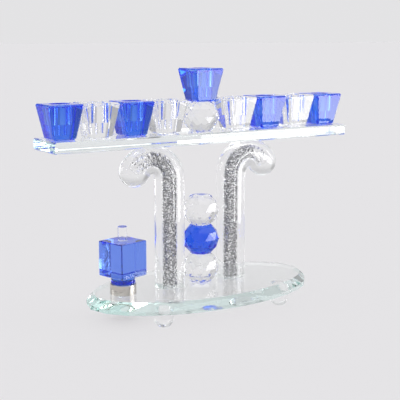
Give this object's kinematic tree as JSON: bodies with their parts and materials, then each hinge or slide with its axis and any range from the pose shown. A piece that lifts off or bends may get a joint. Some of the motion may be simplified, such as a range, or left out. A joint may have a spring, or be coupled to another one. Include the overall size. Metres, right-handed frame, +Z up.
{
  "type": "nine-light crystal candelabrum",
  "caption": "Free-standing glass candelabrum: flared square candle cups on a straight shelf held by two curled tubes over an oval base, with a raised centre cup and a lift-out dreidel.",
  "frame": {"origin": "on the floor under the middle of the oval base, at the bottom centre of the bounding box", "axes": "+X along the shelf towards the arm away from the dreidel, -Y towards the front, +Z up"},
  "size_m": [0.3018, 0.124, 0.2159],
  "materials": {
    "base_glass": "polished float glass with a faint green edge",
    "shelf_glass": "polished float glass",
    "tube_glass": "clear fire-polished glass",
    "crushed_crystal": "crushed mirror-backed crystal chips",
    "clear_crystal": "clear cut and polished crystal",
    "blue_crystal": "cobalt blue cut and polished crystal",
    "chrome": "bright plated metal"
  },
  "bodies": {
    "stand": {"base_plate": "base_glass", "shelf": "shelf_glass", "dreidel_ring": "chrome", "shamash_cup": "blue_crystal", "column_ball_lower": "clear_crystal", "column_ball_middle": "blue_crystal", "column_ball_upper": "clear_crystal", "shamash_ball": "clear_crystal", "tube_left": "tube_glass", "crystal_fill_left": "crushed_crystal", "foot_front_left": "clear_crystal", "foot_rear_left": "clear_crystal", "cup_left_1": "clear_crystal", "cup_left_2": "blue_crystal", "cup_left_3": "clear_crystal", "cup_left_4": "blue_crystal", "tube_right": "tube_glass", "crystal_fill_right": "crushed_crystal", "foot_front_right": "clear_crystal", "foot_rear_right": "clear_crystal", "cup_right_1": "clear_crystal", "cup_right_2": "blue_crystal", "cup_right_3": "clear_crystal", "cup_right_4": "blue_crystal"},
    "dreidel_tip": {"dreidel_tip": "blue_crystal"},
    "dreidel": {"dreidel_cube": "blue_crystal", "dreidel_stem": "clear_crystal"}
  },
  "joints": [
    {"name": "dreidel_lift", "type": "slide", "parent": "stand", "child": "dreidel_tip", "axis": [0, 0, 1], "range_m": [0, 0.03]},
    {"name": "dreidel_spin", "type": "hinge", "parent": "dreidel_tip", "child": "dreidel", "pos_m": [-0.07999, 0, 0.023], "axis": [0, 0, 1], "continuous": true}
  ]
}
